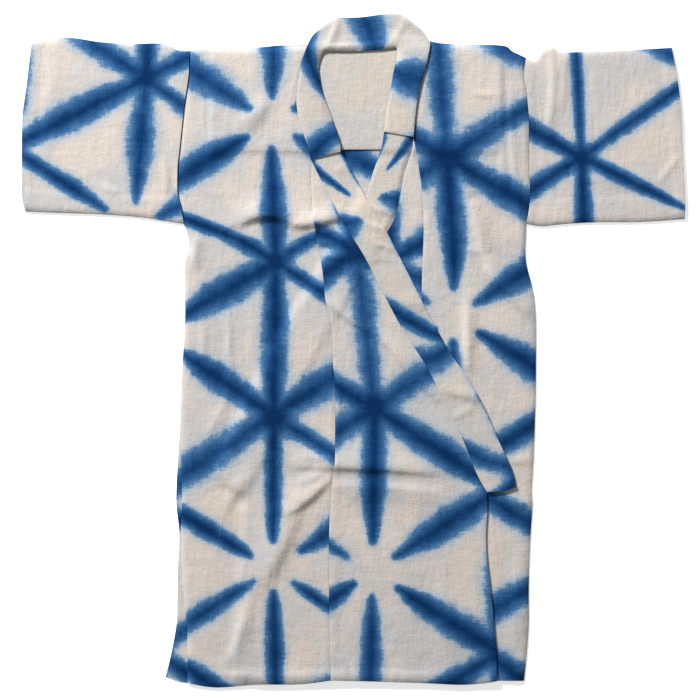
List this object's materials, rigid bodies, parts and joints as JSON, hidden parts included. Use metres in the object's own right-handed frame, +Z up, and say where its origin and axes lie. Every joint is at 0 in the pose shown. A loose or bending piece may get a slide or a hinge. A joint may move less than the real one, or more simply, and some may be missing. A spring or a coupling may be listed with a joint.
{
  "type": "kimono coat",
  "caption": "Child's unlined cotton kimono coat in indigo snow-flower shibori, laid flat with its fronts lapped.",
  "frame": {"origin": "on the surface that the garment lies on, under the middle of its outline", "axes": "+Z up off the surface, +Y from the hem to the collar, +X to the wearer's left (the viewer's right, seen from above)"},
  "size_m": [0.6956, 0.7066, 0.0079],
  "materials": {
    "shibori_cotton": "plain-weave cotton, undyed ground with indigo snow-flower shibori, matte",
    "collar_cotton": "the same cotton, folded into a band, slightly yellowed at the neck, matte",
    "lining_cotton": "thin undyed plain-weave cotton, matte"
  },
  "bodies": {
    "root": {"back": "shibori_cotton", "yoke_lining": "lining_cotton", "front_left": "shibori_cotton", "okumi_left": "shibori_cotton", "collar_left": "collar_cotton", "front_right": "shibori_cotton", "okumi_right": "shibori_cotton", "collar_right": "collar_cotton", "over_collar": "collar_cotton", "sleeve_right": "shibori_cotton", "sleeve_left": "shibori_cotton"}
  },
  "joints": []
}
